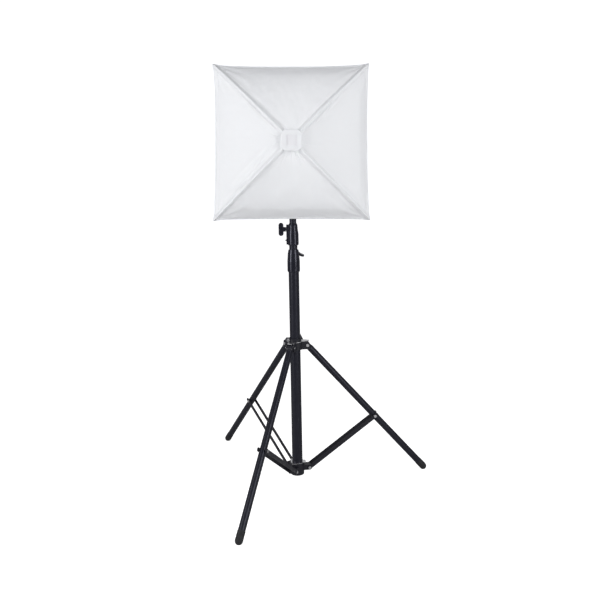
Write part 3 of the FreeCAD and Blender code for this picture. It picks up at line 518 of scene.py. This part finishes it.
# Slack folds beside the ribs: panel, the seam they follow (sign of across), distance from it, width,
# first and last share, height
SLACK_FOLDS = (
    ("left", 1, 0.021, 0.0055, 0.10, 0.78, 0.0030),
    ("left", 1, 0.037, 0.0070, 0.05, 0.55, 0.0026),
    ("left", 1, 0.060, 0.0100, 0.16, 0.70, 0.0022),
    ("left", -1, 0.017, 0.0055, 0.10, 0.55, 0.0014),
    ("right", 1, 0.019, 0.0055, 0.08, 0.58, 0.0026),
    ("right", 1, 0.036, 0.0090, 0.12, 0.40, 0.0012),
    ("right", -1, 0.014, 0.0060, 0.20, 0.85, -0.0016),
    ("top", 1, 0.020, 0.0095, 0.03, 0.50, -0.0024),
    ("top", -1, 0.030, 0.0110, 0.20, 0.60, 0.0010),
    ("bottom", -1, 0.024, 0.0090, 0.15, 0.60, -0.0012),
)


def slack_folds(side, across, share):
    """Long folds of slack cloth that run beside the ribs and wander a little."""
    half = COVER.depth_and_half(share)[1]
    height = 0.0
    for number, (panel, sign, distance, width, first, last, rise) in enumerate(SLACK_FOLDS):
        if panel == side and first < share < last:
            from_seam = (1 - across * sign) * half
            wander = 0.004 * noise.noise(Vector((share * 6, number * 7.7, 1.0)))
            shape = math.exp(-((from_seam - distance - wander) / width) ** 2)
            height += rise * shape * hump((share - first) / (last - first))
    return height


def seam_drag(side, across, share):
    """Short slanting pulls where the cloth is sewn to the rib sleeves."""
    from_seam = (1 - abs(across)) * COVER.depth_and_half(share)[1]
    corner = SIDE_NAMES.index(side) if across > 0 else (SIDE_NAMES.index(side) - 1) % 4
    place = Vector((share * 13 - from_seam * 30, corner * 5.3 + across * 0.5, 11.0))
    beside = smoothstep(0.060, 0.012, from_seam) * smoothstep(0.0, 0.006, from_seam)
    return noise.noise(place) * 0.0022 * SLEEVE_WRINKLES[corner] * beside * smoothstep(0.02, 0.1, share)


def body_relief(side, across, share):
    """The side panels: stretched in between the rods, with slack folds drawn from the ring."""
    free = 1 - across * across
    stretched = -BODY_STRETCH * free * hump(share)
    slow = ripple(side, across, share, 1.6, 50) * 0.0022
    quick = ripple(side, across, share, 5.1, 53) * 0.0008
    radial = noise.noise(Vector((across * 7.0, share * 1.1, 31.0 + SIDE_NAMES.index(side)))) * 0.0016
    loose = slow + quick + radial * smoothstep(1.0, 0.1, share)
    edge = 1 - abs(across) ** 6
    return stretched + loose * edge * smoothstep(1.0, 0.92, share)


RELIEFS = {BODY: body_relief, COVER: cover_relief}


def rim_shape(side, across, share):
    """Edges of the rim drawn in between its corners, and the corners pulled out into points."""
    outward, sideways = SIDES[side]
    drawn_in = DRAWN_IN[side] * (1 - abs(across) ** 3) * smoothstep(0.3, 1.0, share)
    wave = noise.noise(Vector((across * 6.0, SIDE_NAMES.index(side) * 4.1, 8.0))) * (1 - across ** 6)
    inward = drawn_in + 0.0004 * wave * smoothstep(0.8, 1.0, share)
    ear = RIM_EAR * smoothstep(0.90, 1.0, abs(across)) * smoothstep(0.94, 1.0, share)
    to_corner = outward + sideways * math.copysign(1, across)
    grown = (outward + sideways * across) * RIM_GROWTH + RIM_DROP
    return -outward * inward + to_corner * ear + grown * share ** 3


def cloth_point(profile, side, across, share, lift=0.0):
    """Point over a panel's cloth: across runs -1..1 between the corner seams, share 0..1 up to the rim."""
    outward, sideways = SIDES[side]
    depth, half = profile.depth_and_half(share)
    point = Vector((0, -depth, AXIS_HEIGHT)) + outward * half + sideways * (across * half)
    relief = RELIEFS[profile](side, across, share) + corner_fold(side, across, share)
    out = profile.normal(side, share) * (lift - FABRIC_INSET + relief)
    return point + out + rim_shape(side, across, share)


def surface_of(name):
    """Search tree over the surface of one of the frame's nodes."""
    node = frame["nodes"][name]
    points = [node.matrix_world @ vertex.co for vertex in node.data.vertices]
    return BVHTree.FromPolygons(points, [tuple(face.vertices) for face in node.data.polygons])


def beside_seam(profile, side, sign, distance, share, lift):
    """Point over a panel's cloth at a distance from one of its corner seams."""
    half = profile.depth_and_half(share)[1]
    return cloth_point(profile, side, sign * (1 - distance / half), share, lift)


def new_object(name, points, faces, material, coordinates=None, smooth=True):
    """Mesh object from plain lists; coordinates holds one (u, v) in metres per vertex."""
    mesh = bpy.data.meshes.new(name)
    mesh.from_pydata([tuple(point) for point in points], [], faces)
    if coordinates:
        layer = mesh.uv_layers.new(name="cloth")
        for loop in mesh.loops:
            layer.data[loop.index].uv = coordinates[loop.vertex_index]
    if smooth:
        mesh.polygons.foreach_set("use_smooth", [True] * len(mesh.polygons))
    mesh.materials.append(material)
    mesh.update()
    made = bpy.data.objects.new(name, mesh)
    bpy.context.scene.collection.objects.link(made)
    return made


def grid_faces(rows, columns, closed=False):
    """Quads of a grid of points; closed joins the last column to the first."""
    faces = []
    spans = columns if closed else columns - 1
    for row in range(rows - 1):
        for column in range(spans):
            following = (column + 1) % columns
            near = row * columns
            far = near + columns
            faces.append((near + column, near + following, far + following, far + column))
    return faces


def thicken(made, thickness, offset=0.0):
    solid = made.modifiers.new("thickness", "SOLIDIFY")
    solid.thickness = thickness
    solid.offset = offset
    return made


def round_the_axis(per_side):
    """(side, across) of each column of a sheet that runs once round the softbox's axis."""
    return [(side, -1 + 2 * column / per_side) for side in SIDE_NAMES for column in range(per_side)]


def panel_rows(profile, columns, rows):
    """Points and cloth coordinates of a sheet from the panels' start to the rim."""
    points, coordinates = [], []
    for row in range(rows + 1):
        share = row / rows
        half = profile.depth_and_half(share)[1]
        for side, across in columns:
            points.append(cloth_point(profile, side, across, share))
            coordinates.append((across * half, share * profile.length))
    return points, coordinates


def side_cloth(material):
    """The softbox's sides as one continuous sheet, with a skirt drawn in round the rod ring."""
    per_side = 64
    rows = 64
    skirt_rows = 8
    columns = round_the_axis(per_side)
    points, coordinates = [], []
    for row in range(skirt_rows):
        share = row / skirt_rows
        for index, (side, across) in enumerate(columns):
            start = cloth_point(BODY, side, across, 0.0)
            outward = Vector((start.x, 0, start.z - AXIS_HEIGHT)).normalized()
            gather = 0.0009 * math.sin(index / len(columns) * 2 * math.pi * 34) * (1 - share)
            back = Vector((0, SIDES_HIGH.y + 0.0085, AXIS_HEIGHT)) + outward * (RING_RADIUS + 0.0025 + gather)
            bulge = Vector((0, 0.002 * math.sin(math.pi * share), 0))
            points.append(back.lerp(start, smoothstep(0, 1, share)) + bulge)
            coordinates.append((index / len(columns) * 0.4, -0.02 * (1 - share)))
    sheet_points, sheet_coordinates = panel_rows(BODY, columns, rows)
    points += sheet_points
    coordinates += sheet_coordinates
    faces = grid_faces(skirt_rows + rows + 1, len(columns), closed=True)
    return thicken(new_object("softbox_side_cloth", points, faces, material, coordinates), FABRIC_THICKNESS)


def cover_cloth(material):
    """The front cover as one continuous sheet, tucked under the hub."""
    per_side = 96
    rows = 110
    tuck_radius = 0.0362
    columns = round_the_axis(per_side)
    points, coordinates = [], []
    for side, across in columns:
        edge = cloth_point(COVER, side, across, 0.0)
        from_axis = Vector((edge.x, 0, edge.z - AXIS_HEIGHT))
        tucked = from_axis.normalized() * min(from_axis.length - 0.0005, tuck_radius)
        points.append(Vector((0, edge.y, AXIS_HEIGHT)) + tucked)
        coordinates.append((across * 0.029, -0.003))
    sheet_points, sheet_coordinates = panel_rows(COVER, columns, rows)
    points += sheet_points
    coordinates += sheet_coordinates
    faces = grid_faces(rows + 2, len(columns), closed=True)
    return thicken(new_object("front_cover_cloth", points, faces, material, coordinates), FABRIC_THICKNESS)


def seam_frame(profile, corner, share):
    """Point of a corner seam and the direction straight away from it; corner 0 joins bottom and right."""
    side = SIDE_NAMES[corner]
    following = SIDE_NAMES[(corner + 1) % 4]
    step = 0.002
    point = cloth_point(profile, side, 1.0, share)
    further = cloth_point(profile, side, 1.0, share + step)
    along = (further - cloth_point(profile, side, 1.0, share - step)).normalized()
    halfway = profile.normal(side, share) + profile.normal(following, share)
    return point, (halfway - along * along.dot(halfway)).normalized()


RIBS = surface_of("front_ribs")


def clear_of_rib(point):
    """Moves a point of a sleeve out of the rib inside it."""
    nearest, outward, _, distance = RIBS.find_nearest(point)
    if (point - nearest).dot(outward) < 0 or distance < RIB_CLEARANCE:
        return nearest + outward * RIB_CLEARANCE
    return point


def sleeve_foot(share):
    """Distance from the seam to a sleeve's foot, drawn in a little towards the rim."""
    return SLEEVE_FOOT * (1 - 0.2 * share)


def sleeve_section(corner, share, steps):
    """Points across a rib's sleeve, from the flange on one side over the rib to the flange on the other."""
    side = SIDE_NAMES[corner]
    following = SIDE_NAMES[(corner + 1) % 4]
    seam, away = seam_frame(COVER, corner, share)
    closing = smoothstep(1.0, 0.965, share)
    wrinkle = SLEEVE_WRINKLES[corner]
    travel = share * COVER.length
    sway = noise.noise(Vector((corner * 17.3, travel * 55, 3.0)))
    foot = sleeve_foot(share) + 0.0010 * wrinkle * sway
    first = beside_seam(COVER, side, 1, foot, share, 0.0008)
    last = beside_seam(COVER, following, -1, foot, share, 0.0008)
    middle = (first + last) / 2
    half_span = (first - last) / 2
    crest = seam + away * (SLEEVE_END_CREST + (SLEEVE_CREST - SLEEVE_END_CREST) * closing)
    points = [beside_seam(COVER, side, 1, foot + SLEEVE_FLANGE, share, 0.0006)]
    for step in range(steps + 1):
        angle = math.pi * step / steps
        arch = 1 - abs(math.cos(angle)) ** 1.3
        fold = noise.noise(Vector((corner * 17.3, travel * 105, math.cos(angle) * 1.3)))
        soft = noise.noise(Vector((corner * 17.3 + 5, travel * 34, math.cos(angle) * 0.8)))
        lift = (0.0015 * fold + 0.0017 * soft) * wrinkle * math.sin(angle)
        over = middle + half_span * math.cos(angle) + (crest - middle) * arch + away * max(lift, -0.0003)
        points.append(clear_of_rib(over))
    points.append(beside_seam(COVER, following, -1, foot + SLEEVE_FLANGE, share, 0.0006))
    return points


def rib_sleeve(corner, material):
    """Sleeve sewn over one rib, from under the hub out to the rim."""
    rows = 170
    steps = 12
    first_share, last_share = -0.026, 0.992
    points, coordinates = [], []
    for row in range(rows + 1):
        share = first_share + (last_share - first_share) * row / rows
        section = sleeve_section(corner, share, steps)
        points += section
        along = share * SEAM_LENGTH
        coordinates += [(index / len(section) * 0.020, along) for index in range(len(section))]
    faces = grid_faces(rows + 1, len(section))
    sleeve = new_object(f"rib_sleeve_{corner + 1}", points, faces, material, coordinates)
    return thicken(sleeve, 0.0005, 1.0)


def tube_along(path, radius, sides=8, closed=False):
    """Points and faces of a round tube along a list of points."""
    points = []
    count = len(path)
    for index, centre in enumerate(path):
        before = path[(index - 1) % count] if closed or index else path[0]
        after = path[(index + 1) % count] if closed or index < count - 1 else path[-1]
        along = (after - before).normalized()
        helper = Vector((0, 1, 0)) if abs(along.y) < 0.9 else Vector((1, 0, 0))
        first = along.cross(helper).normalized()
        second = along.cross(first)
        for step in range(sides):
            angle = 2 * math.pi * step / sides
            points.append(centre + (first * math.cos(angle) + second * math.sin(angle)) * radius)
    faces = grid_faces(count, sides, closed=True)
    if closed:
        last = (count - 1) * sides
        faces += [(last + step, last + (step + 1) % sides, (step + 1) % sides, step) for step in range(sides)]
    else:
        faces.append(tuple(reversed(range(sides))))
        faces.append(tuple(range((count - 1) * sides, count * sides)))
    return points, faces


def rim_binding(material):
    """Tape folded over the rim, joining the cover to the sides."""
    columns = round_the_axis(90)
    width = TAPE_HIGH.y - TAPE_LOW.y
    back_steps = [width * share for share in (1.0, 0.7, 0.4, 0.12)]
    front_steps = [width * share for share in (0.10, 0.22, 0.32, 0.42)]
    points, coordinates = [], []
    for side, across in columns:
        wave = 0.0003 * noise.noise(Vector((across * 25, SIDE_NAMES.index(side) * 3.3, 2.0)))
        section = [cloth_point(BODY, side, across, BODY.share_at(distance + wave), 0.0011)
                   for distance in back_steps]
        nose = (cloth_point(BODY, side, across, 1.0) + cloth_point(COVER, side, across, 1.0)) / 2
        section.append(nose + (BODY.normal(side, 1) + COVER.normal(side, 1)).normalized() * 0.0016)
        section += [cloth_point(COVER, side, across, COVER.share_at(distance + wave), 0.0007)
                    for distance in front_steps]
        points += section
        coordinates += [(across * RIM_HALF, index * 0.003) for index in range(len(section))]
    rows = len(back_steps) + 1 + len(front_steps)
    faces = grid_faces(len(columns), rows)
    last = (len(columns) - 1) * rows
    faces += [(last + row, last + row + 1, row + 1, row) for row in range(rows - 1)]
    return thicken(new_object("rim_binding", points, faces, material, coordinates), 0.0008)


def stitch_row(path_point, length, pitch=0.0042, dash=0.0029, radius=0.00022):
    """Dashes of thread along a path given as a function of 0..1 that returns a point."""
    points, faces = [], []
    count = int(length / pitch)
    for index in range(count):
        path = [path_point((index + part * dash / pitch) / count) for part in (0, 0.5, 1)]
        dash_points, dash_faces = tube_along(path, radius, sides=5)
        first = len(points)
        points += dash_points
        faces += [tuple(first + corner for corner in face) for face in dash_faces]
    return points, faces


def stitch_paths(corner):
    """Stitched lines on one panel of the cover and on the sleeve at its end, with their lengths."""
    side = SIDE_NAMES[corner]
    following = SIDE_NAMES[(corner + 1) % 4]

    def along_hem(part):
        return cloth_point(COVER, side, (-1 + 2 * part) * HEM_REACH, COVER.share_at(HEM_WIDTH), 0.0016)

    def along_sleeve(name, sign):
        def path_point(part):
            share = 0.02 + 0.965 * part
            return beside_seam(COVER, name, sign, sleeve_foot(share) + SLEEVE_FLANGE * 0.6, share, 0.0014)

        return path_point

    return [(along_hem, 2 * RIM_HALF * HEM_REACH),
            (along_sleeve(side, 1), SEAM_LENGTH), (along_sleeve(following, -1), SEAM_LENGTH)]


def stitching(corner, material):
    """The visible rows of stitching on one panel of the cover, as one piece of thread."""
    points, faces = [], []
    for path_point, length in stitch_paths(corner):
        row_points, row_faces = stitch_row(path_point, length)
        first = len(points)
        points += row_points
        faces += [tuple(first + index for index in face) for face in row_faces]
    return new_object(f"stitching_{SIDE_NAMES[corner]}", points, faces, material)


def side_seam(corner, material):
    """Raised, bound seam along a corner of the softbox's sides."""
    steps = 90
    path = []
    for step in range(steps + 1):
        point, away = seam_frame(BODY, corner, 0.01 + 0.965 * step / steps)
        path.append(point + away * 0.0012)
    points, faces = tube_along(path, 0.0014)
    coordinates = [(index % 8 * 0.001, index // 8 * 0.004) for index in range(len(points))]
    return new_object(f"side_seam_{corner + 1}", points, faces, material, coordinates)


def build_softbox(made):
    sleeve_material = sleeve_cloth()
    thread_material = thread()
    sides = side_cloth(made["white_fabric"])
    cover = cover_cloth(made["white_fabric"])
    binding = rim_binding(made["white_tape"])
    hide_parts("softbox_sides")
    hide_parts("front_cover")
    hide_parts("rim_tape")
    rounded = frame["nodes"]["front_hub"].modifiers.new("rounded edges", "BEVEL")
    rounded.width = 0.0009
    rounded.segments = 3
    pieces = [(sides, "white_fabric"), (cover, "white_fabric"), (binding, "white_tape")]
    for corner in range(len(SIDE_NAMES)):
        pieces.append((rib_sleeve(corner, sleeve_material), "white_fabric"))
        pieces.append((side_seam(corner, sleeve_material), "white_fabric"))
        pieces.append((stitching(corner, thread_material), "white_fabric"))
    for piece, slot in pieces:
        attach(piece, "head")


# Floor, light and camera

CAMERA_DISTANCE = 2.5676
CAMERA_HEIGHT = 1.1404 + FLOOR
CAMERA_PAN = 0.0117
CAMERA_ROLL = -0.0192
CAMERA_LENS = 42.346
CAMERA_SHIFT = -0.2253
FLOOR_GLOW = 0.9
LEFT_POWER = 35
RIGHT_POWER = 32.5
FILL_POWER = 1.5
BACK_POWER = 9
SURROUND_LIGHT = 0.27


def build_camera():
    """Level camera with its frame shifted down, so that the softbox's sides stay upright."""
    data = bpy.data.cameras.new("camera")
    camera = bpy.data.objects.new("camera", data)
    bpy.context.scene.collection.objects.link(camera)
    data.lens = CAMERA_LENS
    forward = Vector((math.sin(CAMERA_PAN), math.cos(CAMERA_PAN), 0))
    level = Vector((math.cos(CAMERA_PAN), -math.sin(CAMERA_PAN), 0))
    up = Vector((0, 0, 1))
    right = level * math.cos(CAMERA_ROLL) + up * math.sin(CAMERA_ROLL)
    above = up * math.cos(CAMERA_ROLL) - level * math.sin(CAMERA_ROLL)
    place = Matrix((right, above, -forward)).transposed().to_4x4()
    place.translation = Vector((0, -CAMERA_DISTANCE, CAMERA_HEIGHT))
    camera.matrix_world = place
    bpy.context.scene.camera = camera
    shift_only_here(camera, place.translation)


def shift_only_here(camera, home):
    """Drives the frame's shift so that it drops to nothing when the camera is moved to another view."""
    driver = camera.data.driver_add("shift_y").driver
    terms = []
    for axis, value in zip("xyz", home):
        variable = driver.variables.new()
        variable.name = axis
        variable.type = "TRANSFORMS"
        variable.targets[0].id = camera
        variable.targets[0].transform_type = f"LOC_{axis.upper()}"
        terms.append(f"abs({axis} - {value:.5f})")
    driver.expression = f"{CAMERA_SHIFT} if {' + '.join(terms)} < 0.01 else 0"


def area_light(name, place, aim, size, power, colour=(1, 1, 1)):
    data = bpy.data.lights.new(name, "AREA")
    data.shape = "RECTANGLE"
    data.size, data.size_y = size
    data.energy = power
    data.color = colour
    light = bpy.data.objects.new(name, data)
    light.location = place
    light.visible_camera = False
    light.rotation_euler = (Vector(aim) - Vector(place)).to_track_quat("-Z", "Y").to_euler()
    bpy.context.scene.collection.objects.link(light)


def build_light():
    """Two tall side lights in front, soft fills over the camera and behind, and a white surround."""
    aim = (0, -0.25, 1.0)
    area_light("left_light", (-2.03, -1.45, 1.4), aim, (0.8, 2.0), LEFT_POWER)
    area_light("right_light", (1.75, -1.95, 1.4), aim, (0.8, 2.0), RIGHT_POWER)
    area_light("front_fill", (0, -4.2, 1.9), (0, 0, 1.15), (3.0, 2.0), FILL_POWER)
    area_light("back_fill", (0.9, 3.6, 2.2), (0, 0, 1.1), (3.0, 2.0), BACK_POWER)
    world = bpy.data.worlds.new("surround")
    world.use_nodes = True
    tree = world.node_tree
    background = tree.nodes["Background"]
    path = tree.nodes.new("ShaderNodeLightPath")
    level = tree.nodes.new("ShaderNodeMapRange")
    level.inputs["To Min"].default_value = SURROUND_LIGHT
    level.inputs["To Max"].default_value = 1.1
    tree.links.new(path.outputs["Is Camera Ray"], level.inputs["Value"])
    tree.links.new(level.outputs[0], background.inputs["Strength"])
    background.inputs["Color"].default_value = (0.98, 0.99, 1.03, 1)
    bpy.context.scene.world = world
    bpy.context.scene.view_settings.view_transform = "Standard"


def build_floor():
    """Pale studio floor that the camera sees as white as the surround."""
    half = 12.0
    corners = [(-half, -half, FLOOR), (half, -half, FLOOR), (half, half, FLOOR), (-half, half, FLOOR)]
    shader = Shader("pale_floor")
    cloud = shader.noise(1.5, 3)
    colour = shader.mix(cloud, grey(0.69), grey(0.73))
    seen = shader.node("LightPath", {}, output=0)
    material = shader.finish(Base_Color=colour, Roughness=0.8, Emission_Color=grey(1.0),
                             Emission_Strength=shader.fit(seen, 0, 1, 0, FLOOR_GLOW))
    floor = new_object("floor", corners, [(0, 1, 2, 3)], material, smooth=False)


materials = paint_frame()
build_softbox(materials)
build_floor()
build_light()
build_camera()
